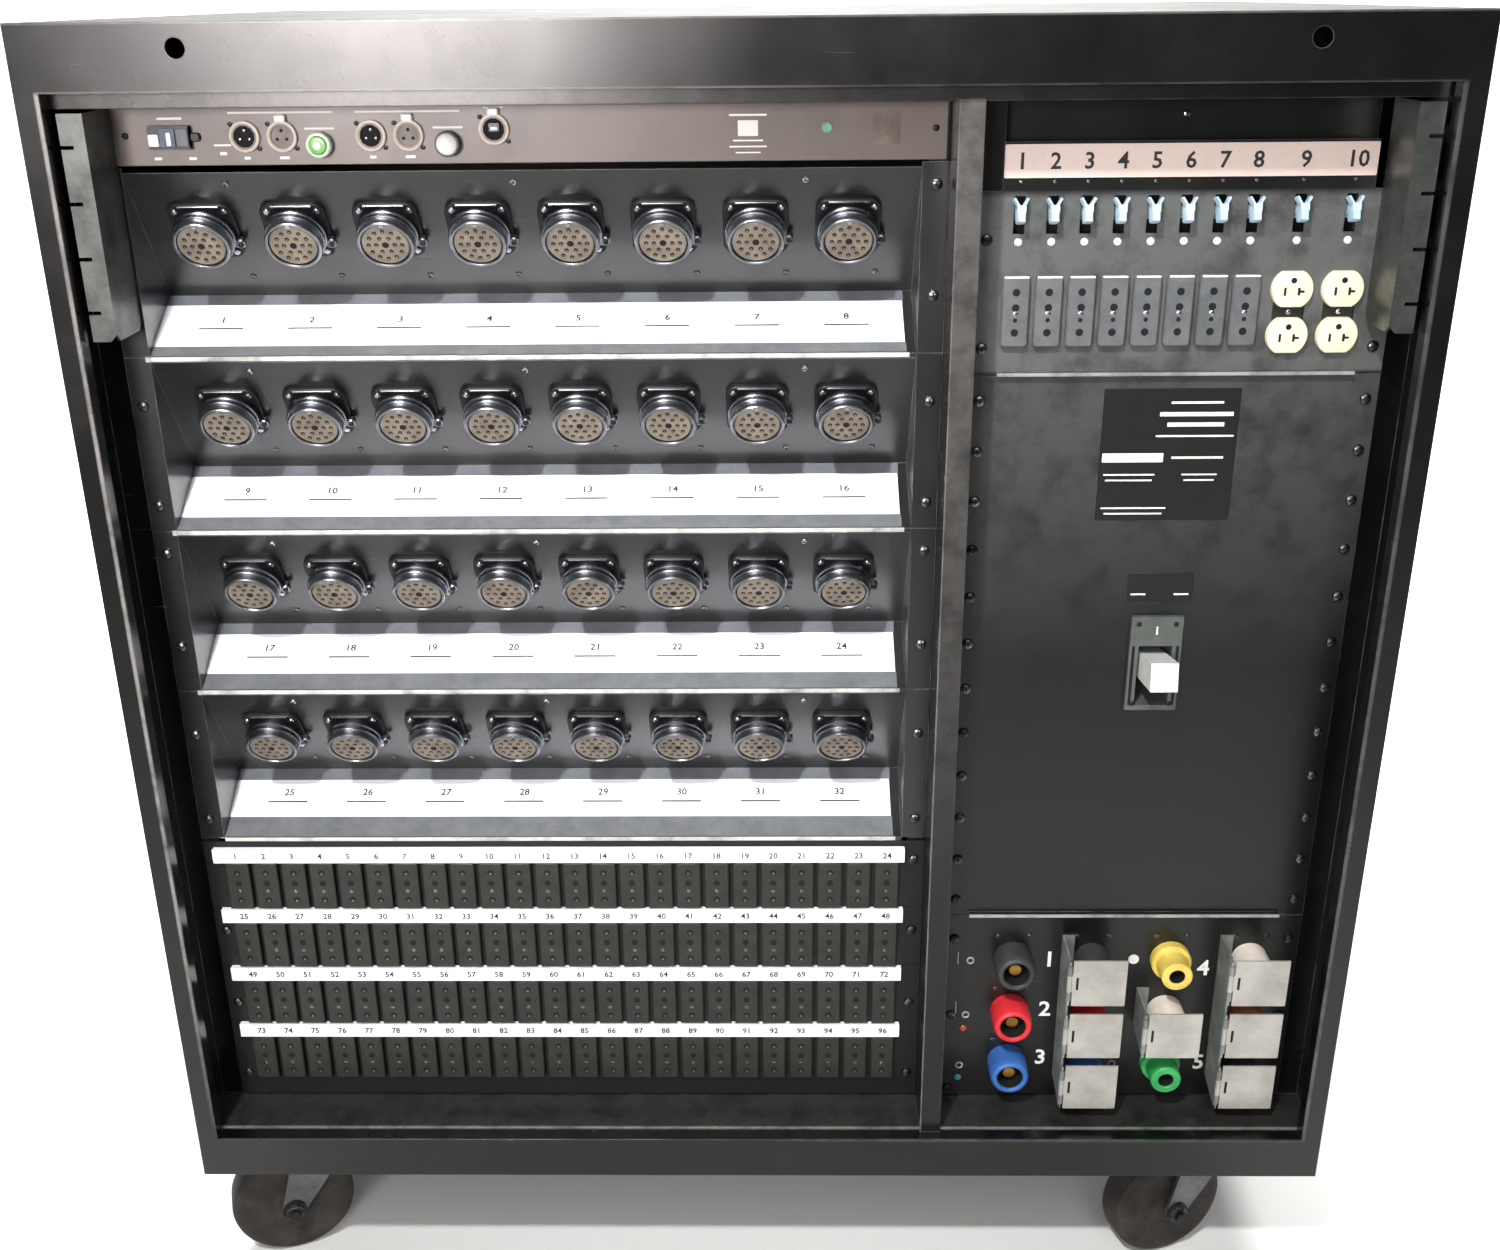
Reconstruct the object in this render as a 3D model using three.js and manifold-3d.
// Touring dimmer rack: a welded steel cabinet on swivel casters. Its output side carries
// multipin sockets, pin outlets, branch breakers, a main breaker and single-pole cam sockets.
// Units are millimetres, +Z is up, and the origin is on the floor under the middle of the rack.
// The output side faces -Y. Inside the cabinet group, y is the depth behind the output face
// and z is the height above the underside of the cabinet.

import * as THREE from 'three';
import { mergeVertices } from 'three/addons/utils/BufferGeometryUtils.js';
import Module from 'manifold-3d';

const wasm = await Module();
wasm.setup();

// Cabinet
const cabinetWidth = 1100;
const cabinetHeight = 1070;
const cabinetDepth = 742;
const cabinetSheet = 2;
const topFlange = 50;
const bottomFlange = 44;
const sideFlange = 19;
const flangeReturn = 15;
const moduleFlange = 22;
const flangeHoleRadius = 7.5;
const flangeHoleSides = 24;
const flangeHoleInset = 127;
const flangeHoleDrop = 18.5;
const crossMemberFront = 20;
const crossMemberDepth = 20;
const crossMemberDrop = 12;
const crossMemberHeight = 24;

// Clearances: seat is the gap between parts that rest on each other, overrun is how far a
// cutting shape passes the face that it cuts
const seat = 0.3;
const overrun = 1;

// Panels of the output side, and the rails that carry them
const panelDepth = 68;
const panelSheet = 2;
const railSheet = 2.5;
const earWidth = 20;
const headRoom = 65;
const bayMargin = 43;
const bayGap = 62;
const rightBayWidth = 304;
const railWidth = 36;
const centreRailInset = 4;
const centreRailWidth = 60;
const trayFront = 17;
const trayReach = 76;
const trayLip = 15;

// Centre post
const postInset = 19.5;
const postWidth = 20;
const postFront = 12;
const postDepth = 48;

// Hanger brackets
const hangerFace = 20;
const hangerFront = 15;
const hangerSheet = 2;
const hangerHeight = 175;
const hangerSlots = 4;
const hangerSlotPitch = 42.3;
const hangerSlotDrop = 25;
const hangerSlotLength = 10;
const hangerSlotHeight = 3;
const hangerCorner = 6;

// Control strip and what is mounted in it: places across are measured from the left bay's edge
const stripHeight = 44;
const stripOverlap = 17;
const stripGap = 1.5;
const roundConnectorRadius = 12;
const roundConnectorProud = 3;
const roundConnectorBore = 8.5;
const roundConnectorOffsets = [106, 136, 207, 237];
const dataSocketOffset = 305.5;
const dataSocketRise = 4;
const multipoleOffset = 46.5;
const multipoleWidth = 33;
const multipoleHeight = 18;
const multipoleProud = 7;
const connectorBodyDepth = 24;
const buttonOffsets = [166, 268.5];
const buttonDrop = 6.5;
const buttonRadius = 7;
const buttonClearance = 0.4;
const buttonProud = 10;
const buttonStem = 14;
const bezelRadius = 10;
const bezelProud = 3;

// Folded socket panels
const socketRows = 4;
const lipDrop = 3.5;
const foldGap = 4;
const socketSlantDegrees = 31;
const socketsInRow = 8;
const socketSideRoom = 38.4;
const socketShift = 2;
const socketDown = 56;
const socketFlange = 54;
const socketFlangeThickness = 4;
const socketBarrelRadius = 23.5;
const socketSides = 14;
const socketLength = 22;
const socketBore = 20;
const socketBoreDepth = 3;
const socketBodyRadius = 20;
const socketBodyLength = 34;
const socketHoleClearance = 0.8;
const earthStripWidth = 14;
const earthStripSheet = 1.5;
const earthStripBite = 0.5;

// Pin outlets of the left bay
const pinRows = 4;
const pinRowPitch = 66.7;
const pinPlateTop = 339.5;
const pinTopMargin = 5.5;
const pinPlateBottom = 45.5;
const pinsInRow = 24;
const pinGap = 4.2;
const pinHeight = 50;
const pinProud = 6;
const numberStripHeight = 14.5;
const numberStripProud = 1.5;
const terminalBarDepth = 28;
const terminalBarHeight = 40;

// Breaker panel of the right bay
const breakerPanelHeight = 219;
const headerHeight = 69;
const headerRecess = 25;
const headerInset = 2.5;
const labelHeight = 38;
const labelInset = 1;
const labelEnd = 6;
const panelLipInset = 3;
const panelLipEnd = 4;
const panelLipProud = 6;
const panelLipHeight = 3;
const branchPitch = 26.8;
const branchInset = 15.5;
const branchPins = 8;
const duplexOffsets = [240.5, 281.5];
const toggleDrop = 19;
const toggleSlotWidth = 9;
const toggleSlotHeight = 30;
const togglePivotBack = 12;
const toggleHub = 5.7;
const toggleHubWidth = 14;
const toggleLength = 25;
const toggleWidth = 7;
const toggleThickness = 7.5;
const toggleTipThickness = 5.5;
const toggleTiltDegrees = 15;
const breakerCaseHeight = 46;
const breakerCaseDepth = 36;
const breakerCaseWall = 3;
const breakerCaseEnd = 12.5;

// Branch outlets of the right bay
const branchPinRise = 25;
const branchPinHeight = 58;
const branchPinWidth = 22;
const duplexWidth = 33.3;
const duplexHeight = 66.7;
const duplexFaceHeight = 28.6;
const duplexRise = 18.5;
const outletProud = 6;
const outletStemInset = 4;
const outletStemDepth = 26;
const outletStrapSheet = 2;
const outletStrapHeight = 14;
const outletStrapRise = 48;

// Main panel and main breaker
const mainBreakerOffset = 157;
const mainPivotRise = 254;
const mainPivotBack = 44;
const mainEscutcheonWidth = 46;
const mainEscutcheonDrop = 34;
const mainEscutcheonHeight = 91;
const mainEscutcheonProud = 5;
const mainNeckWidth = 38;
const mainNeckDrop = 32;
const mainNeckHeight = 66;
const mainCaseWidth = 90;
const mainCaseDrop = 82;
const mainCaseHeight = 170;
const mainCaseDepth = 80;
const mainSlotWidth = 30;
const mainSlotHeight = 58;
const mainHub = 10;
const mainHubWidth = 28;
const mainHandleWidth = 24;
const mainHandleLength = 90;
const mainHandleRoot = 20;
const mainHandleTip = 26;
const mainHandleTiltDegrees = 10;

// Cam panel, cam sockets and their spring covers
const camPanelTop = 257.4;
const camPanelBottom = 45.5;
const camPanelJoint = 0.6;
const camColumnInset = 48;
const camColumnPitch = 76.5;
const camRowTop = 208;
const camRowPitch = 60.5;
const camRadius = 19;
const camLength = 30;
const camBore = 13.3;
const camBoreDepth = 23;
const camContact = 7;
const camContactRecess = 9;
const camStud = 10;
const camStudLength = 26;
const camBaseLength = 10;
const camNose = 14.5;
const camNoseBore = 7.5;
const camNoseBoreDepth = 18;
const coveredCamRadius = 17;
const coveredCamLength = 36;
const coverWidth = 54;
const coverHeight = 50.5;
const coverSheet = 1.5;
const coverFront = 26;
const coverHingeOffset = 28.5;
const coverBarrel = 2.5;
const coverKnuckle = 18;
const bracketKnuckle = 10;
const bracketSheet = 2;
const bracketFoot = 11;
const bracketRise = 27;
const bracketTaper = 10;

// Door and the hinge on its edge
const doorMargin = 5;
const doorHeightMargin = 4;
const doorGap = 2;
const doorThickness = 18;
const doorSheet = 1.5;
const doorFrameWidth = 22;
const hingeRadius = 4;
const hingeLeafHalf = 3.6;
const hingeKnuckle = 40;
const hingeDoorKnuckle = 25;
const hingeEndInset = 120;
const hingeNotch = 1.5;

// Dimmer modules and control module
const moduleColumns = 12;
const moduleTiers = 4;
const bankSideRoom = 52;
const bankHeadRoom = 142;
const moduleGapAcross = 2;
const moduleGapUp = 4;
const moduleRecess = 22;
const moduleDepth = 180;
const backplaneSheet = 4;
const bankSkid = 10;
const controlModuleWidth = 440;
const controlModuleHeight = 88;

// Casters
const wheelRadius = 62.5;
const wheelWidth = 45;
const wheelSides = 24;
const wheelHub = 16;
const wheelDish = 5;
const wheelRim = 53;
const wheelShoulder = 9;
const wheelBoreClearance = 0.4;
const axleRadius = 5;
const axleHead = 9;
const axleHeadLength = 7;
const casterHeight = 155;
const casterPlate = 100;
const casterPlateThickness = 5;
const casterRace = 26;
const casterRaceLength = 7;
const casterTrail = 38;
const casterSideInset = 90;
const casterInset = 93;
const casterYawDegrees = 200;
const forkCrown = 34;
const forkCrownThickness = 6;
const forkSheet = 4;
const forkSideGap = 4;
const forkTopWidth = 62;
const forkFoot = 13;

const roundSides = 16;
const smallSides = 12;
const fewSides = 8;

// Worked out from the sizes above
const halfWidth = cabinetWidth / 2;
const overallDepth = cabinetDepth + doorGap + doorThickness;
const slant = THREE.MathUtils.degToRad(socketSlantDegrees);
const slantSin = Math.sin(slant);
const slantCos = Math.cos(slant);
const panelBack = panelDepth + panelSheet;
const axleHeight = wheelRadius * Math.cos(Math.PI / wheelSides);
const wheelGapHalf = wheelWidth / 2 + forkSideGap;

// The bays keep their distance from the cabinet's sides, and the right one keeps its width
const leftBayFrom = bayMargin - halfWidth;
const rightBayTo = halfWidth - bayMargin;
const rightBayFrom = rightBayTo - rightBayWidth;
const leftBayTo = rightBayFrom - bayGap;
const leftBayWidth = leftBayTo - leftBayFrom;
const centreRailFrom = leftBayTo + centreRailInset;
const postFrom = leftBayTo + postInset;
const stripTo = leftBayTo + stripOverlap;
const roundConnectorPlaces = roundConnectorOffsets.map((offset) => leftBayFrom + offset);
const dataSocketPlace = leftBayFrom + dataSocketOffset;
const multipolePlace = leftBayFrom + multipoleOffset;
const buttonPlaces = buttonOffsets.map((offset) => leftBayFrom + offset);
const socketCentre = (leftBayFrom + leftBayTo) / 2 - socketShift;
const socketPitch = (leftBayWidth - socketSideRoom) / socketsInRow;
const pinPitch = leftBayWidth / pinsInRow;
const pinWidth = pinPitch - pinGap;
const branchFrom = rightBayFrom + branchInset;
const duplexPlaces = duplexOffsets.map((offset) => rightBayFrom + offset);
const labelFrom = rightBayFrom + labelInset;
const labelTo = rightBayTo - labelEnd;
const panelLipFrom = rightBayFrom + panelLipInset;
const panelLipTo = rightBayTo - panelLipEnd;
const mainBreakerAcross = rightBayFrom + mainBreakerOffset;
const camColumnFrom = rightBayFrom + camColumnInset;

// The panels hang from one line under the top flange, and the socket rows fill what is left
const panelTop = cabinetHeight - headRoom;
const stripBottom = panelTop - stripHeight;
const stripLine = stripBottom + stripHeight / 2;
const hangerBottom = panelTop - hangerHeight;
const lowestLip = pinPlateTop + foldGap;
const socketRowPitch = (stripBottom - stripGap - lowestLip) / socketRows;
const pinRowTop = pinPlateTop - pinTopMargin;
const breakerPanelBottom = panelTop - breakerPanelHeight;
const breakerShelf = panelTop - headerHeight;
const toggleHeight = breakerShelf - toggleDrop;
const branchPinBottom = breakerPanelBottom + branchPinRise;
const duplexBottom = breakerPanelBottom + duplexRise;
const mainPanelBottom = camPanelTop + camPanelJoint;
const mainPivotHeight = mainPanelBottom + mainPivotRise;
const mainNeckBottom = mainPivotHeight - mainNeckDrop;

// The door, the modules and the casters follow the cabinet
const hingeHeights = [hingeEndInset, cabinetHeight / 2, cabinetHeight - hingeEndInset];
const modulePitchAcross = (cabinetWidth - bankSideRoom - bankSideRoom) / moduleColumns;
const modulePitchUp = (cabinetHeight - bankHeadRoom) / moduleTiers;
const moduleFront = cabinetDepth - moduleRecess;
const moduleBack = moduleFront - moduleDepth;
const casterAcross = halfWidth - casterSideInset;

const paintedBlack = new THREE.MeshStandardMaterial({ color: 0x232624, roughness: 0.5, metalness: 0.3 });
const panelBlack = new THREE.MeshStandardMaterial({ color: 0x2c302e, roughness: 0.55, metalness: 0.2 });
const stripBronze = new THREE.MeshStandardMaterial({ color: 0x6f6862, roughness: 0.4, metalness: 0.6 });
const bareSteel = new THREE.MeshStandardMaterial({ color: 0xa9adab, roughness: 0.35, metalness: 0.9 });
const zincPlate = new THREE.MeshStandardMaterial({ color: 0x7f8886, roughness: 0.45, metalness: 0.8 });
const socketMetal = new THREE.MeshStandardMaterial({ color: 0x4c4e4d, roughness: 0.35, metalness: 0.8 });
const outletBlack = new THREE.MeshStandardMaterial({ color: 0x1d201f, roughness: 0.6, metalness: 0 });
const outletGrey = new THREE.MeshStandardMaterial({ color: 0x8d9396, roughness: 0.5, metalness: 0 });
const toggleWhite = new THREE.MeshStandardMaterial({ color: 0xd9dee2, roughness: 0.35, metalness: 0 });
const buttonGreen = new THREE.MeshStandardMaterial({ color: 0xb9e6a8, roughness: 0.3, metalness: 0 });
const moduleGrey = new THREE.MeshStandardMaterial({ color: 0x3b3e40, roughness: 0.6, metalness: 0.2 });
const tyreBrown = new THREE.MeshStandardMaterial({ color: 0x6d665c, roughness: 0.7, metalness: 0 });
const camBlack = new THREE.MeshStandardMaterial({ color: 0x3a3c3d, roughness: 0.55, metalness: 0 });
const camRed = new THREE.MeshStandardMaterial({ color: 0xd8323a, roughness: 0.5, metalness: 0 });
const camBlue = new THREE.MeshStandardMaterial({ color: 0x3f6fb8, roughness: 0.5, metalness: 0 });
const camYellow = new THREE.MeshStandardMaterial({ color: 0xe6cf6a, roughness: 0.5, metalness: 0 });
const camGreen = new THREE.MeshStandardMaterial({ color: 0x3fae62, roughness: 0.5, metalness: 0 });

// Turns a closed three.js geometry into a solid that can be joined and cut
function toSolid(geometry) {
  const bare = geometry.index ? geometry.toNonIndexed() : geometry.clone();
  bare.deleteAttribute('normal');
  bare.deleteAttribute('uv');
  const merged = mergeVertices(bare);
  return new wasm.Manifold(new wasm.Mesh({
    numProp: 3,
    vertProperties: new Float32Array(merged.attributes.position.array),
    triVerts: new Uint32Array(merged.index.array),
  }));
}

function toGeometry(solid) {
  const mesh = solid.getMesh();
  const geometry = new THREE.BufferGeometry();
  geometry.setAttribute('position', new THREE.BufferAttribute(mesh.vertProperties, mesh.numProp));
  geometry.setIndex(new THREE.BufferAttribute(mesh.triVerts, 1));
  geometry.computeVertexNormals();
  return geometry;
}

// A block between its lowest and highest corners
function block(low, high) {
  const size = high.map((value, axis) => value - low[axis]);
  const middle = high.map((value, axis) => (value + low[axis]) / 2);
  return toSolid(new THREE.BoxGeometry(...size).translate(...middle));
}

// A round rod from one point, along an axis, with a second radius where it tapers
function rod(axis, start, length, radius, sides = roundSides, endRadius = radius) {
  const geometry = new THREE.CylinderGeometry(endRadius, radius, length, sides);
  geometry.rotateY(Math.PI / sides);
  geometry.translate(0, length / 2, 0);
  if (axis === 'x') geometry.rotateZ(-Math.PI / 2);
  if (axis === 'z') geometry.rotateX(Math.PI / 2);
  if (axis === '-y') geometry.rotateX(Math.PI);
  return toSolid(geometry.translate(...start));
}

// An outline of [y, z] points, carried along x
function profileAlongX(points, from, to) {
  const shape = new THREE.Shape(points.map(([y, z]) => new THREE.Vector2(y, z)));
  const geometry = new THREE.ExtrudeGeometry(shape, { depth: to - from, bevelEnabled: false });
  const turn = new THREE.Matrix4().set(0, 0, 1, from, 1, 0, 0, 0, 0, 1, 0, 0, 0, 0, 0, 1);
  return toSolid(geometry.applyMatrix4(turn));
}

// An outline of [x, z] points, carried along y
function profileAlongY(points, from, to) {
  const shape = new THREE.Shape(points.map(([x, z]) => new THREE.Vector2(x, z)));
  const geometry = new THREE.ExtrudeGeometry(shape, { depth: to - from, bevelEnabled: false });
  const turn = new THREE.Matrix4().set(1, 0, 0, 0, 0, 0, -1, to, 0, 1, 0, 0, 0, 0, 0, 1);
  return toSolid(geometry.applyMatrix4(turn));
}

function join(solids) {
  return solids.reduce((whole, solid) => whole.add(solid));
}

function cut(solid, cutters) {
  return cutters.reduce((rest, cutter) => rest.subtract(cutter), solid);
}

function addPart(parent, name, solid, material) {
  const mesh = new THREE.Mesh(toGeometry(solid), material);
  mesh.name = name;
  parent.add(mesh);
  return mesh;
}

function range(count) {
  return Array.from({ length: count }, (unused, index) => index);
}

// Cabinet: the outer box, both face frames, the rails, the floor tray, the centre post and
// the caster plates are one welded piece
function outerBox() {
  const outer = block([-halfWidth, 0, 0], [halfWidth, cabinetDepth, cabinetHeight]);
  const room = block(
    [-halfWidth + cabinetSheet, cabinetSheet, cabinetSheet],
    [halfWidth - cabinetSheet, cabinetDepth - cabinetSheet, cabinetHeight - cabinetSheet],
  );
  const openHalf = halfWidth - sideFlange;
  const outputOpening = block(
    [-openHalf, -overrun, bottomFlange],
    [openHalf, cabinetSheet + overrun, cabinetHeight - topFlange],
  );
  const moduleHalf = halfWidth - moduleFlange;
  const moduleOpening = block(
    [-moduleHalf, cabinetDepth - cabinetSheet - overrun, moduleFlange],
    [moduleHalf, cabinetDepth + overrun, cabinetHeight - moduleFlange],
  );
  return cut(outer, [room, outputOpening, moduleOpening]);
}

// The output face flanges turn back at the edge of the opening
function flangeReturns() {
  const openHalf = halfWidth - sideFlange;
  const top = cabinetHeight - topFlange;
  const ring = block(
    [-openHalf - cabinetSheet, 0, bottomFlange - cabinetSheet],
    [openHalf + cabinetSheet, flangeReturn, top + cabinetSheet],
  );
  const opening = block([-openHalf, -overrun, bottomFlange], [openHalf, flangeReturn + overrun, top]);
  return cut(ring, [opening]);
}

function flangeHoles() {
  const height = cabinetHeight - flangeHoleDrop;
  const across = halfWidth - flangeHoleInset;
  return [-across, across].map((x) => (
    rod('y', [x, -overrun, height], cabinetSheet + overrun + overrun, flangeHoleRadius, flangeHoleSides)
  ));
}

function rails() {
  const inner = halfWidth - cabinetSheet;
  const front = panelBack + seat;
  const back = front + railSheet;
  const strip = (from, to) => block([from, front, 0], [to, back, cabinetHeight]);
  const stripTab = block(
    [-inner + railWidth - overrun, front, stripBottom],
    [leftBayFrom + earWidth, back, stripBottom + stripHeight],
  );
  return [
    strip(-inner - cabinetSheet, -inner + railWidth),
    strip(centreRailFrom, centreRailFrom + centreRailWidth),
    strip(inner - railWidth, inner + cabinetSheet),
    stripTab,
  ];
}

function floorTray() {
  const plate = block(
    [-halfWidth, trayFront, bottomFlange - cabinetSheet],
    [halfWidth, trayReach, bottomFlange],
  );
  const lip = block(
    [-halfWidth, trayFront, bottomFlange - trayLip],
    [halfWidth, trayFront + cabinetSheet, bottomFlange],
  );
  return [plate, lip];
}

function crossMember() {
  const bottom = cabinetHeight - topFlange - crossMemberDrop;
  return block(
    [-halfWidth, crossMemberFront, bottom],
    [halfWidth, crossMemberFront + crossMemberDepth, bottom + crossMemberHeight],
  );
}

function centrePost() {
  const bottom = bottomFlange - cabinetSheet;
  const top = cabinetHeight - topFlange - crossMemberDrop + cabinetSheet;
  return block([postFrom, postFront, bottom], [postFrom + postWidth, postFront + postDepth, top]);
}

function casterPlates() {
  return casterPlaces().flatMap(([x, y]) => [
    block(
      [x - casterPlate / 2, y - casterPlate / 2, -casterPlateThickness],
      [x + casterPlate / 2, y + casterPlate / 2, cabinetSheet / 2],
    ),
    rod('z', [x, y, -casterPlateThickness - casterRaceLength], casterRaceLength, casterRace, smallSides),
  ]);
}

function cabinetKnuckles() {
  const axisX = hingeAxisAcross();
  const axisY = hingeAxisDepth();
  return hingeHeights.flatMap((height) => [
    rod('z', [axisX, axisY, height - hingeKnuckle / 2], hingeKnuckle, hingeRadius, smallSides),
    block(
      [axisX - hingeLeafHalf, cabinetDepth - cabinetSheet / 2, height - hingeKnuckle / 2],
      [axisX + hingeLeafHalf, axisY, height + hingeKnuckle / 2],
    ),
  ]);
}

function cabinetShell() {
  const wholeHeight = block([-halfWidth, 0, 0], [halfWidth, cabinetDepth, cabinetHeight]);
  const inside = join([flangeReturns(), ...rails(), ...floorTray(), crossMember(), centrePost()]);
  const welded = join([outerBox(), inside.intersect(wholeHeight), ...casterPlates(), ...cabinetKnuckles()]);
  return cut(welded, flangeHoles());
}

// Hanger bracket: a slotted face inside the face frame and a flange back to the panels
function hangerBracket(side) {
  const back = panelDepth - seat;
  const inner = rightBayTo;
  const outer = inner + hangerFace;
  const outline = [
    [inner, hangerBottom + hangerCorner],
    [inner + hangerCorner, hangerBottom],
    [outer, hangerBottom],
    [outer, panelTop],
    [inner, panelTop],
  ];
  const facePoints = outline.map(([x, z]) => [side * x, z]);
  const face = profileAlongY(facePoints, hangerFront, hangerFront + hangerSheet);
  const flangeOutline = [
    [hangerFront, hangerBottom + hangerCorner],
    [hangerFront + hangerCorner, hangerBottom],
    [back - hangerCorner, hangerBottom],
    [back, hangerBottom + hangerCorner],
    [back, panelTop],
    [hangerFront, panelTop],
  ];
  const edges = [side * inner, side * (inner + hangerSheet)].sort((a, b) => a - b);
  const flange = profileAlongX(flangeOutline, edges[0], edges[1]);
  const slotEnds = [side * (outer - hangerSlotLength), side * (outer + overrun)].sort((a, b) => a - b);
  const slots = range(hangerSlots).map((index) => {
    const middle = panelTop - hangerSlotDrop - index * hangerSlotPitch;
    return block(
      [slotEnds[0], hangerFront - overrun, middle - hangerSlotHeight / 2],
      [slotEnds[1], hangerFront + hangerSheet + overrun, middle + hangerSlotHeight / 2],
    );
  });
  return cut(join([face, flange]), slots);
}

// Control strip: the plate with its round connectors, data socket and multipole connector
function roundConnector(x, z) {
  const front = panelDepth - roundConnectorProud;
  const ring = rod('y', [x, front, z], roundConnectorProud + overrun, roundConnectorRadius, smallSides);
  const bore = rod('y', [x, front - overrun, z], roundConnectorProud + overrun, roundConnectorBore,
    smallSides);
  return { ring, bore };
}

function controlStrip() {
  const plate = block(
    [leftBayFrom, panelDepth, stripBottom],
    [stripTo, panelBack, stripBottom + stripHeight],
  );
  const connectors = [
    ...roundConnectorPlaces.map((x) => roundConnector(x, stripLine)),
    roundConnector(dataSocketPlace, stripLine + dataSocketRise),
  ];
  const multipole = block(
    [multipolePlace - multipoleWidth / 2, panelDepth - multipoleProud, stripLine - multipoleHeight / 2],
    [multipolePlace + multipoleWidth / 2, panelBack, stripLine + multipoleHeight / 2],
  );
  const bodies = [...roundConnectorPlaces, dataSocketPlace].map((x) => block(
    [x - roundConnectorRadius, panelDepth + panelSheet / 2, stripLine - roundConnectorRadius],
    [x + roundConnectorRadius, panelBack + connectorBodyDepth, stripLine + roundConnectorRadius],
  ));
  const buttonLine = stripLine - buttonDrop;
  const bezels = buttonPlaces.map((x) => (
    rod('y', [x, panelDepth - bezelProud, buttonLine], bezelProud + panelSheet, bezelRadius, smallSides)
  ));
  const buttonBores = buttonPlaces.map((x) => rod(
    'y',
    [x, panelDepth - bezelProud - overrun, buttonLine],
    bezelProud + panelSheet + overrun + overrun,
    buttonRadius + buttonClearance,
    smallSides,
  ));
  const raised = join([plate, multipole, ...connectors.map((item) => item.ring), ...bezels]);
  const bored = cut(raised, [...connectors.map((item) => item.bore), ...buttonBores]);
  return join([bored, ...bodies]);
}

function inputButton() {
  return rod('y', [0, -buttonProud, 0], buttonProud + buttonStem, buttonRadius, smallSides);
}

// Folded socket panel: a slanted face that leans back to a fold, a shelf square to it that
// comes forward to the lip, cheeks that close both ends, and an ear at each side.
// The outline is in [depth behind the panel line, height above the lip].
function foldPoints() {
  const top = socketRowPitch - foldGap;
  const face = top * slantCos;
  const fold = [face * slantSin, top - face * slantCos];
  return { top, fold };
}

function foldedPanel(lip) {
  const { top, fold } = foldPoints();
  const sheet = panelSheet;
  const hemBack = [sheet, -sheet * slantCos + sheet * (1 - slantSin) * Math.tan(slant)];
  const outline = [
    [0, top],
    fold,
    [0, 0],
    [0, -lipDrop],
    [sheet, -lipDrop],
    hemBack,
    [fold[0] + sheet * (slantCos + slantSin), fold[1] + sheet * (slantSin - slantCos)],
    [sheet / slantCos, top],
  ];
  const place = ([depth, height]) => [panelDepth + depth, lip + height];
  const folded = profileAlongX(outline.map(place), leftBayFrom, leftBayTo);
  // The cheeks reach half way into the folded sheet, so that they are one body with it
  const cheekOutline = [
    [0, top],
    [0, 0],
    [sheet / 2 / slantSin, 0],
    [fold[0] + sheet / 2 * (slantCos + slantSin), fold[1] + sheet / 2 * (slantSin - slantCos)],
    [sheet / 2 / slantCos, top],
  ].map(place);
  const cheeks = [
    profileAlongX(cheekOutline, leftBayFrom, leftBayFrom + panelSheet),
    profileAlongX(cheekOutline, leftBayTo - panelSheet, leftBayTo),
  ];
  const earBottom = lip + seat / 2;
  const earTop = lip + socketRowPitch - seat / 2;
  const ears = [
    block([leftBayFrom - earWidth, panelDepth, earBottom], [leftBayFrom + panelSheet, panelBack, earTop]),
    block([leftBayTo - panelSheet, panelDepth, earBottom], [leftBayTo + earWidth, panelBack, earTop]),
  ];
  // The hem stops short of both ends, where the ears of the row below come up beside it
  const hemEnds = [leftBayFrom - overrun, leftBayTo - panelSheet - seat].map((x) => block(
    [x, panelDepth - overrun, lip - lipDrop - overrun],
    [x + panelSheet + seat + overrun, panelBack + overrun, lip],
  ));
  const holes = socketPlaces().map((x) => socketHole(x, lip));
  return cut(join([cut(folded, hemEnds), ...cheeks, ...ears]), holes);
}

// The middle of a socket flange on the slanted face
function socketSeat(lip) {
  const { top } = foldPoints();
  return [panelDepth + socketDown * slantSin, lip + top - socketDown * slantCos];
}

function socketPlaces() {
  return range(socketsInRow).map((index) => (
    socketCentre + (index - (socketsInRow - 1) / 2) * socketPitch
  ));
}

function socketHole(x, lip) {
  const [y, z] = socketSeat(lip);
  const reach = panelSheet + overrun;
  const radius = socketBodyRadius + socketHoleClearance;
  const geometry = new THREE.CylinderGeometry(radius, radius, reach + reach, fewSides);
  geometry.rotateY(Math.PI / fewSides);
  geometry.rotateX(slant);
  return toSolid(geometry.translate(x, y, z));
}

// One row of multipin sockets, square to the slanted face: y 0 is the face, -y is outwards.
// Their rear bodies are linked by the earth strip behind the panel.
function socketRow() {
  const sockets = socketPlaces().map((x) => {
    const flange = block(
      [x - socketFlange / 2, -seat - socketFlangeThickness, -socketFlange / 2],
      [x + socketFlange / 2, -seat, socketFlange / 2],
    );
    const barrel = rod('-y', [x, -seat, 0], socketLength - seat, socketBarrelRadius, socketSides);
    const bore = rod('-y', [x, socketBoreDepth - socketLength, 0], socketBoreDepth + overrun, socketBore,
      socketSides);
    const body = rod('y', [x, -seat, 0], socketBodyLength + seat, socketBodyRadius, fewSides);
    return join([cut(join([flange, barrel]), [bore]), body]);
  });
  const places = socketPlaces();
  const stripFront = socketBodyLength - earthStripBite;
  const strip = block(
    [places[0], stripFront, -earthStripWidth / 2],
    [places[places.length - 1], stripFront + earthStripSheet, earthStripWidth / 2],
  );
  return join([...sockets, strip]);
}

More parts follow.
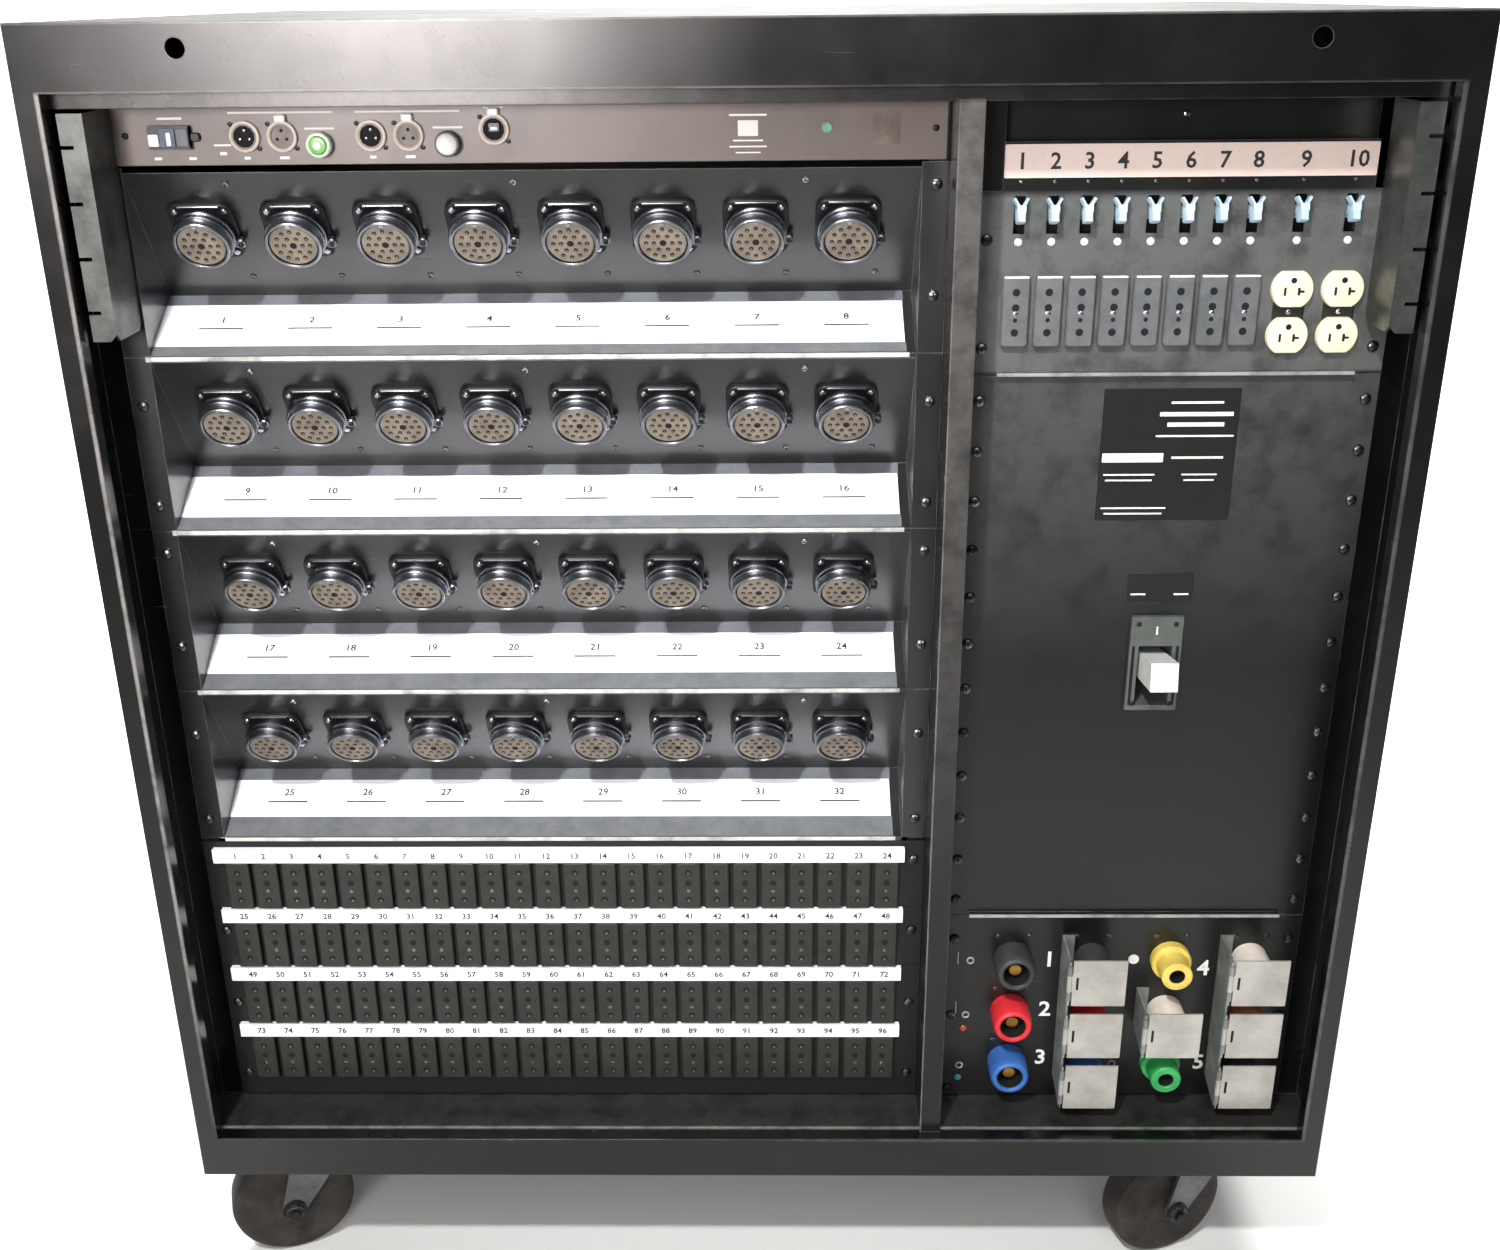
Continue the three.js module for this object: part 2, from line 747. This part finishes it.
// One row of pin outlets on its panel, with the number strip above them
function pinRow(index) {
  const top = pinRowTop - index * pinRowPitch;
  const plateTop = index === 0 ? pinPlateTop : top - seat / 2;
  const plateBottom = index === pinRows - 1 ? pinPlateBottom : top - pinRowPitch + seat / 2;
  const plate = block(
    [leftBayFrom - earWidth, panelDepth, plateBottom],
    [leftBayTo + earWidth, panelBack, plateTop],
  );
  const half = pinsInRow * pinPitch / 2;
  const strip = block(
    [socketCentre - half, panelDepth - numberStripProud, top - numberStripHeight],
    [socketCentre + half, panelBack, top],
  );
  const pinTop = top - numberStripHeight;
  const outlets = range(pinsInRow).map((place) => {
    const x = socketCentre - half + pinPitch / 2 + place * pinPitch;
    return block(
      [x - pinWidth / 2, panelDepth - pinProud, pinTop - pinHeight],
      [x + pinWidth / 2, panelBack, pinTop],
    );
  });
  const barMiddle = pinTop - pinHeight / 2;
  const bar = block(
    [socketCentre - half, panelDepth + panelSheet / 2, barMiddle - terminalBarHeight / 2],
    [leftBayTo, panelBack + terminalBarDepth, barMiddle + terminalBarHeight / 2],
  );
  return join([plate, strip, ...outlets, bar]);
}

// Breaker panel: the lower face, a header set back above it, the label tab in front of the
// header, and the row of breaker cases behind the toggle slots
function togglePlaces() {
  return [...range(branchPins).map((index) => branchFrom + index * branchPitch), ...duplexPlaces];
}

function branchOutletPlaces() {
  const pins = range(branchPins).map((index) => ({
    x: branchFrom + index * branchPitch,
    width: branchPinWidth,
    bottom: branchPinBottom,
    height: branchPinHeight,
  }));
  const duplexes = duplexPlaces.map((x) => ({
    x,
    width: duplexWidth,
    bottom: duplexBottom,
    height: duplexHeight,
  }));
  return [...pins, ...duplexes];
}

function breakerPanel() {
  const from = rightBayFrom - earWidth;
  const to = rightBayTo + earWidth;
  const recessed = panelDepth + headerRecess;
  const face = block([from, panelDepth, breakerPanelBottom], [to, panelBack, breakerShelf]);
  const labelTop = breakerShelf + labelHeight;
  const tab = block([labelFrom, panelDepth, breakerShelf - overrun], [labelTo, panelBack, labelTop]);
  const shelf = block(
    [rightBayFrom + headerInset, panelDepth, breakerShelf - panelSheet],
    [rightBayTo, recessed + panelSheet, breakerShelf],
  );
  const header = block(
    [rightBayFrom + headerInset, recessed, breakerShelf - panelSheet],
    [rightBayTo, recessed + panelSheet, panelTop],
  );
  const lip = block(
    [panelLipFrom, panelDepth - panelLipProud, breakerPanelBottom],
    [panelLipTo, panelBack, breakerPanelBottom + panelLipHeight],
  );
  const places = togglePlaces();
  const caseFrom = places[0] - breakerCaseEnd;
  const caseTo = places[places.length - 1] + breakerCaseEnd;
  const caseFront = panelDepth + togglePivotBack + toggleHub + seat;
  const caseBottom = toggleHeight - breakerCaseHeight / 2;
  const caseTop = breakerShelf - panelSheet - breakerCaseWall;
  const cases = block([caseFrom, caseFront, caseBottom], [caseTo, caseFront + breakerCaseDepth, caseTop]);
  const webs = [caseFrom, caseTo - breakerCaseWall].map((x) => block(
    [x, panelDepth + panelSheet / 2, caseBottom],
    [x + breakerCaseWall, caseFront + overrun, caseTop],
  ));
  const slots = places.map((x) => block(
    [x - toggleSlotWidth / 2, panelDepth - overrun, toggleHeight - toggleSlotHeight / 2],
    [x + toggleSlotWidth / 2, panelBack + overrun, toggleHeight + toggleSlotHeight / 2],
  ));
  const windows = branchOutletPlaces().map((outlet) => {
    const half = outlet.width / 2 - outletStemInset + seat;
    return block(
      [outlet.x - half, panelDepth - overrun, outlet.bottom + outletStemInset - seat],
      [outlet.x + half, panelBack + overrun, outlet.bottom + outlet.height - outletStemInset + seat],
    );
  });
  return cut(join([face, tab, shelf, header, lip, cases, ...webs]), [...slots, ...windows]);
}

function outletFace(outlet, bottom, height) {
  return block(
    [outlet.x - outlet.width / 2, panelDepth - outletProud, bottom],
    [outlet.x + outlet.width / 2, panelDepth - seat, bottom + height],
  );
}

// A duplex receptacle shows two round faces, each cut flat above and below
function duplexFaces(outlet) {
  return [outlet.bottom, outlet.bottom + outlet.height - duplexFaceHeight].map((bottom) => {
    const middle = [outlet.x, panelDepth - outletProud - overrun, bottom + duplexFaceHeight / 2];
    const disc = rod('y', middle, outletProud + overrun, outlet.width / 2);
    return disc.intersect(outletFace(outlet, bottom, duplexFaceHeight));
  });
}

// Eight pin outlets and two duplex receptacles on one mounting strap behind the panel
function branchOutlets() {
  const outlets = branchOutletPlaces().flatMap((outlet) => {
    const half = outlet.width / 2;
    const stemHalf = half - outletStemInset;
    const isDuplex = outlet.width === duplexWidth;
    const faces = isDuplex ? duplexFaces(outlet) : [outletFace(outlet, outlet.bottom, outlet.height)];
    return [
      ...faces,
      block(
        [outlet.x - stemHalf, panelDepth - seat - overrun, outlet.bottom + outletStemInset],
        [outlet.x + stemHalf, panelBack + outletStemDepth, outlet.bottom + outlet.height - outletStemInset],
      ),
    ];
  });
  const strapFront = panelBack + seat + outletStrapSheet;
  const strapTo = duplexPlaces[duplexPlaces.length - 1];
  const strapBottom = breakerPanelBottom + outletStrapRise;
  const strap = block(
    [branchFrom, strapFront, strapBottom],
    [strapTo, strapFront + outletStrapSheet, strapBottom + outletStrapHeight],
  );
  return join([...outlets, strap]);
}

// A lever on a hub: the outline runs outwards along -y from the pivot at the origin
function lever(hubRadius, hubWidth, hubSides, length, width, rootThickness, tipThickness, tiltDegrees) {
  const hub = rod('x', [-hubWidth / 2, 0, 0], hubWidth, hubRadius, hubSides);
  const outline = [
    [0, -rootThickness / 2],
    [-length, -tipThickness / 2],
    [-length, tipThickness / 2],
    [0, rootThickness / 2],
  ];
  const tilt = THREE.MathUtils.degToRad(tiltDegrees);
  const turned = outline.map(([y, z]) => [
    y * Math.cos(tilt) + z * Math.sin(tilt),
    z * Math.cos(tilt) - y * Math.sin(tilt),
  ]);
  return join([hub, profileAlongX(turned, -width / 2, width / 2)]);
}

function branchToggle() {
  return lever(toggleHub, toggleHubWidth, fewSides, toggleLength, toggleWidth,
    toggleThickness, toggleTipThickness, toggleTiltDegrees);
}

function mainPanel() {
  const plate = block(
    [rightBayFrom - earWidth, panelDepth, mainPanelBottom],
    [rightBayTo + earWidth, panelBack, breakerPanelBottom - seat],
  );
  const lip = block(
    [panelLipFrom, panelDepth - panelLipProud, mainPanelBottom],
    [panelLipTo, panelBack, mainPanelBottom + panelLipHeight],
  );
  const half = mainNeckWidth / 2 + seat;
  const window = block(
    [mainBreakerAcross - half, panelDepth - overrun, mainNeckBottom - seat],
    [mainBreakerAcross + half, panelBack + overrun, mainNeckBottom + mainNeckHeight + seat],
  );
  return cut(join([plate, lip]), [window]);
}

function mainBreaker() {
  const x = mainBreakerAcross;
  const escutcheonBottom = mainPivotHeight - mainEscutcheonDrop;
  const escutcheon = block(
    [x - mainEscutcheonWidth / 2, panelDepth - mainEscutcheonProud, escutcheonBottom],
    [x + mainEscutcheonWidth / 2, panelDepth - seat, escutcheonBottom + mainEscutcheonHeight],
  );
  const neck = block(
    [x - mainNeckWidth / 2, panelDepth - seat - overrun, mainNeckBottom],
    [x + mainNeckWidth / 2, panelBack + seat + overrun, mainNeckBottom + mainNeckHeight],
  );
  const caseBottom = mainPivotHeight - mainCaseDrop;
  const body = block(
    [x - mainCaseWidth / 2, panelBack + seat, caseBottom],
    [x + mainCaseWidth / 2, panelBack + seat + mainCaseDepth, caseBottom + mainCaseHeight],
  );
  const cavityFront = panelDepth - mainEscutcheonProud - overrun;
  const cavityBack = panelDepth + mainPivotBack + mainHub + seat;
  const cavity = block(
    [x - mainSlotWidth / 2, cavityFront, mainPivotHeight - mainSlotHeight / 2],
    [x + mainSlotWidth / 2, cavityBack, mainPivotHeight + mainSlotHeight / 2],
  );
  return cut(join([escutcheon, neck, body]), [cavity]);
}

function mainBreakerHandle() {
  return lever(mainHub, mainHubWidth, smallSides, mainHandleLength, mainHandleWidth,
    mainHandleRoot, mainHandleTip, mainHandleTiltDegrees);
}

// Cam sockets stand in columns and rows: column 0 and part of column 2 are open
function camPlace(column, row) {
  return [camColumnFrom + column * camColumnPitch, panelDepth, camRowTop - row * camRowPitch];
}

const coveredCams = [[1, 0], [1, 1], [1, 2], [2, 1], [3, 0], [3, 1], [3, 2]];
const openCams = [
  ['cam_socket_black', 0, 0, openCam, camBlack],
  ['cam_socket_red', 0, 1, openCam, camRed],
  ['cam_socket_blue', 0, 2, openCam, camBlue],
  ['cam_socket_yellow', 2, 0, nosedCam, camYellow],
  ['cam_socket_green', 2, 2, nosedCam, camGreen],
];

function camPanel() {
  const plate = block(
    [rightBayFrom - earWidth, panelDepth, camPanelBottom],
    [rightBayTo + earWidth, panelBack, camPanelTop],
  );
  const covered = coveredCams.map(([column, row]) => {
    const [x, y, z] = camPlace(column, row);
    return rod('-y', [x, y + overrun, z], coveredCamLength + overrun, coveredCamRadius);
  });
  const holes = openCams.map(([, column, row]) => {
    const [x, y, z] = camPlace(column, row);
    return rod('y', [x, y - overrun, z], panelSheet + overrun + overrun, camStud + seat, smallSides);
  });
  return cut(join([plate, ...covered]), holes);
}

// An open cam socket with its contact: y 0 is the panel face, -y is outwards
function openCam() {
  const barrel = rod('-y', [0, -seat, 0], camLength - seat, camRadius);
  const bore = rod('-y', [0, camBoreDepth - camLength, 0], camBoreDepth + overrun, camBore);
  const contact = rod('-y', [0, camBoreDepth - camLength + overrun, 0],
    camBoreDepth - camContactRecess + overrun, camContact, smallSides);
  const stud = rod('y', [0, -seat - overrun, 0], camStudLength, camStud, smallSides);
  return join([cut(barrel, [bore]), contact, stud]);
}

// A cam socket of the other sex: a wide base and a narrower nose with its bore
function nosedCam() {
  const base = rod('-y', [0, -seat, 0], camBaseLength, camRadius);
  const nose = rod('-y', [0, -seat, 0], camLength + camBaseLength / 4, camNose);
  const front = -seat - camLength - camBaseLength / 4;
  const boreFloor = [0, front + camNoseBoreDepth, 0];
  const bore = rod('-y', boreFloor, camNoseBoreDepth + overrun, camNoseBore, smallSides);
  const stud = rod('y', [0, -seat - overrun, 0], camStudLength, camStud, smallSides);
  return join([cut(join([base, nose]), [bore]), stud]);
}

// A spring cover: x 0, y 0 is its hinge line, the plate runs to +x, z 0 is its middle
function camCover() {
  const half = coverHeight / 2;
  const plate = block([0, -coverSheet / 2, -half], [coverWidth, coverSheet / 2, half]);
  const barrel = rod('z', [0, 0, -coverKnuckle / 2], coverKnuckle, coverBarrel, fewSides);
  const clear = coverBarrel + seat + seat;
  const notches = [1, -1].map((side) => {
    const near = side * (coverKnuckle / 2);
    const far = side * (half + overrun);
    return block(
      [-overrun, -coverBarrel, Math.min(near, far)],
      [clear, coverBarrel, Math.max(near, far)],
    );
  });
  return join([cut(plate, notches), barrel]);
}

// A hinge bracket for covers at the given heights: a foot on the panel, a web that comes
// forward to the hinge line, and a knuckle above and below each cover's own
function coverBracket(heights) {
  const half = coverHeight / 2;
  const back = panelDepth - seat - coverFront;
  const top = Math.max(...heights) + half;
  const bottom = Math.min(...heights) - half;
  const webFront = coverBarrel + overrun;
  const outline = [
    [webFront, bottom],
    [back, bottom + bracketTaper],
    [back, top + bracketRise - half],
    [back - bracketFoot, top + bracketRise - half],
    [webFront, top],
  ];
  const web = profileAlongX(outline, -bracketSheet / 2, bracketSheet / 2);
  const foot = block(
    [-bracketSheet / 2, back - bracketSheet, bottom + bracketTaper],
    [bracketFoot, back, top + bracketRise - half],
  );
  const knuckles = heights.flatMap((height) => [1, -1].map((side) => {
    const near = height + side * (coverKnuckle / 2 + seat);
    const far = near + side * bracketKnuckle;
    const low = Math.min(near, far);
    const barrel = rod('z', [0, 0, low], bracketKnuckle, coverBarrel, fewSides);
    const arm = block(
      [-bracketSheet / 2, 0, low],
      [bracketSheet / 2, webFront + overrun, low + bracketKnuckle],
    );
    return join([barrel, arm]);
  }));
  return join([web, foot, ...knuckles]);
}

// Door on the module side: a shallow pan, open to the inside, with hinge knuckles
function hingeAxisAcross() {
  return halfWidth - doorMargin;
}

function hingeAxisDepth() {
  return cabinetDepth + doorGap + hingeRadius;
}

// The door is built about its hinge line, which is x 0 and y 0, and runs to -x
function doorPanel() {
  const width = cabinetWidth - doorMargin - doorMargin;
  const inner = -hingeRadius;
  const outer = inner + doorThickness;
  const pan = block([-width, inner, doorHeightMargin], [0, outer, cabinetHeight - doorHeightMargin]);
  const hollow = block(
    [-width + doorFrameWidth, inner - overrun, doorHeightMargin + doorFrameWidth],
    [-doorFrameWidth, outer - doorSheet, cabinetHeight - doorHeightMargin - doorFrameWidth],
  );
  const notches = hingeHeights.map((height) => block(
    [-hingeRadius - hingeNotch, inner - overrun, height - hingeKnuckle / 2 - seat],
    [overrun, outer + overrun, height + hingeKnuckle / 2 + seat],
  ));
  const knuckles = hingeHeights.flatMap((height) => [1, -1].map((side) => {
    const near = height + side * (hingeKnuckle / 2 + seat);
    const low = side > 0 ? near : near - hingeDoorKnuckle;
    return rod('z', [0, 0, low], hingeDoorKnuckle, hingeRadius, smallSides);
  }));
  return join([cut(pan, [hollow, ...notches]), ...knuckles]);
}

// Dimmer modules: four tiers of twelve on a backplane that stands on a skid
function moduleBank() {
  const half = moduleColumns * modulePitchAcross / 2;
  const skidBottom = cabinetSheet + seat;
  const modulesFrom = skidBottom + bankSkid;
  const top = modulesFrom + moduleTiers * modulePitchUp;
  const backplane = block(
    [-half, moduleBack - backplaneSheet, skidBottom],
    [half, moduleBack + overrun, top],
  );
  const skid = block([-half, moduleBack, skidBottom], [half, moduleFront, modulesFrom]);
  const modules = range(moduleTiers).flatMap((tier) => range(moduleColumns).map((column) => {
    const x = -half + column * modulePitchAcross;
    const z = modulesFrom + tier * modulePitchUp;
    return block(
      [x + moduleGapAcross / 2, moduleBack, z + moduleGapUp],
      [x + modulePitchAcross - moduleGapAcross / 2, moduleFront, z + modulePitchUp],
    );
  }));
  return join([backplane, skid, ...modules]);
}

function controlModule() {
  const bottom = cabinetSheet + seat + bankSkid + moduleTiers * modulePitchUp + seat;
  return block(
    [-controlModuleWidth / 2, moduleBack, bottom],
    [controlModuleWidth / 2, moduleFront, bottom + controlModuleHeight],
  );
}

// Casters: the output side pair trails to -x and the module side pair to +x
function casterPlaces() {
  return [
    [-casterAcross, casterInset, 0],
    [casterAcross, casterInset, 0],
    [-casterAcross, cabinetDepth - casterInset, 1],
    [casterAcross, cabinetDepth - casterInset, 1],
  ];
}

// The fork is built about its swivel axis with the trail along +x. z 0 is the underside of
// the cabinet. The axle belongs to the fork.
function casterFork() {
  const crownTop = -casterPlateThickness - casterRaceLength - seat;
  const crownBottom = crownTop - forkCrownThickness;
  const axle = axleHeight - casterHeight;
  const crown = rod('z', [0, 0, crownBottom], forkCrownThickness, forkCrown, smallSides);
  const bridge = block(
    [-forkTopWidth / 2, -wheelGapHalf - forkSheet, crownBottom],
    [forkTopWidth / 2, wheelGapHalf + forkSheet, crownTop - overrun],
  );
  const footAngles = range(smallSides / 2 + 1).map((step) => Math.PI + step * Math.PI / (smallSides / 2));
  const legOutline = [
    [-forkTopWidth / 2, crownBottom + overrun],
    ...footAngles.map((angle) => [
      casterTrail + forkFoot * Math.cos(angle),
      axle + forkFoot * Math.sin(angle),
    ]),
    [forkTopWidth / 2, crownBottom + overrun],
  ];
  const legs = [-wheelGapHalf - forkSheet, wheelGapHalf].map((y) => (
    profileAlongY(legOutline, y, y + forkSheet)
  ));
  const pin = rod('y', [casterTrail, -wheelGapHalf - overrun, axle], (wheelGapHalf + overrun) * 2,
    axleRadius, smallSides);
  const heads = [
    rod('y', [casterTrail, wheelGapHalf + forkSheet / 2, axle], axleHeadLength, axleHead, smallSides),
    rod('-y', [casterTrail, -wheelGapHalf - forkSheet / 2, axle], axleHeadLength, axleHead, smallSides),
  ];
  return join([crown, bridge, ...legs, pin, ...heads]);
}

// The wheel is built about its own middle with its axle along y
function casterWheel() {
  const half = wheelWidth / 2;
  const bore = axleRadius + wheelBoreClearance;
  const profile = [
    [bore, -half],
    [wheelHub, -half],
    [wheelRim, -half + wheelDish],
    [wheelRadius, -half + wheelShoulder],
    [wheelRadius, half - wheelShoulder],
    [wheelRim, half - wheelDish],
    [wheelHub, half],
    [bore, half],
    [bore, -half],
  ];
  const geometry = new THREE.LatheGeometry(profile.map(([r, y]) => new THREE.Vector2(r, y)), wheelSides);
  geometry.rotateY(Math.PI / wheelSides);
  return toSolid(geometry);
}

// Assembly
const rack = new THREE.Group();
const cabinet = new THREE.Group();
cabinet.position.set(0, -overallDepth / 2, casterHeight);
rack.add(cabinet);

addPart(cabinet, 'cabinet_shell', cabinetShell(), paintedBlack);
addPart(cabinet, 'hanger_bracket_left', hangerBracket(-1), zincPlate);
addPart(cabinet, 'hanger_bracket_right', hangerBracket(1), zincPlate);
addPart(cabinet, 'control_strip', controlStrip(), stripBronze);

buttonPlaces.forEach((x, index) => {
  const material = index === 0 ? buttonGreen : toggleWhite;
  const button = addPart(cabinet, `input_button_${index + 1}`, inputButton(), material);
  button.position.set(x, panelDepth, stripLine - buttonDrop);
});

range(socketRows).forEach((row) => {
  const lip = lowestLip + (socketRows - 1 - row) * socketRowPitch;
  addPart(cabinet, `socket_panel_row_${row + 1}`, foldedPanel(lip), panelBlack);
  const sockets = addPart(cabinet, `multipin_sockets_row_${row + 1}`, socketRow(), socketMetal);
  const [depth, height] = socketSeat(lip);
  sockets.position.set(0, depth, height);
  sockets.rotation.x = slant;
});

range(pinRows).forEach((row) => {
  addPart(cabinet, `pin_outlets_row_${row + 1}`, pinRow(row), outletBlack);
});

addPart(cabinet, 'breaker_panel', breakerPanel(), panelBlack);
togglePlaces().forEach((x, index) => {
  const toggle = addPart(cabinet, `branch_toggle_${index + 1}`, branchToggle(), toggleWhite);
  toggle.position.set(x, panelDepth + togglePivotBack, toggleHeight);
});
addPart(cabinet, 'branch_outlets', branchOutlets(), outletGrey);

addPart(cabinet, 'main_panel', mainPanel(), panelBlack);
addPart(cabinet, 'main_breaker', mainBreaker(), outletBlack);
const mainHandle = addPart(cabinet, 'main_breaker_handle', mainBreakerHandle(), toggleWhite);
mainHandle.position.set(mainBreakerAcross, panelDepth + mainPivotBack, mainPivotHeight);

addPart(cabinet, 'cam_panel', camPanel(), panelBlack);
openCams.forEach(([name, column, row, shape, material]) => {
  addPart(cabinet, name, shape(), material).position.set(...camPlace(column, row));
});

const bracketColumns = [['cover_bracket_left', 1], ['cover_bracket_middle', 2], ['cover_bracket_right', 3]];
bracketColumns.forEach(([name, column]) => {
  const heights = coveredCams.filter((place) => place[0] === column).map((place) => camPlace(...place)[2]);
  const bracket = addPart(cabinet, name, coverBracket(heights), zincPlate);
  bracket.position.set(camPlace(column, 0)[0] - coverHingeOffset, coverFront, 0);
});
coveredCams.forEach(([column, row], index) => {
  const [x, , z] = camPlace(column, row);
  const cover = addPart(cabinet, `cam_cover_${index + 1}`, camCover(), bareSteel);
  cover.position.set(x - coverHingeOffset, coverFront, z);
});

const door = addPart(cabinet, 'module_door', doorPanel(), paintedBlack);
door.position.set(hingeAxisAcross(), hingeAxisDepth(), 0);
addPart(cabinet, 'dimmer_module_bank', moduleBank(), moduleGrey);
addPart(cabinet, 'control_module', controlModule(), moduleGrey);

casterPlaces().forEach(([x, y, turned], index) => {
  const caster = new THREE.Group();
  caster.position.set(x, y, 0);
  caster.rotation.z = THREE.MathUtils.degToRad(casterYawDegrees) - turned * Math.PI;
  cabinet.add(caster);
  addPart(caster, `caster_fork_${index + 1}`, casterFork(), bareSteel);
  const wheel = addPart(caster, `caster_wheel_${index + 1}`, casterWheel(), tyreBrown);
  wheel.position.set(casterTrail, 0, axleHeight - casterHeight);
});

export default rack;
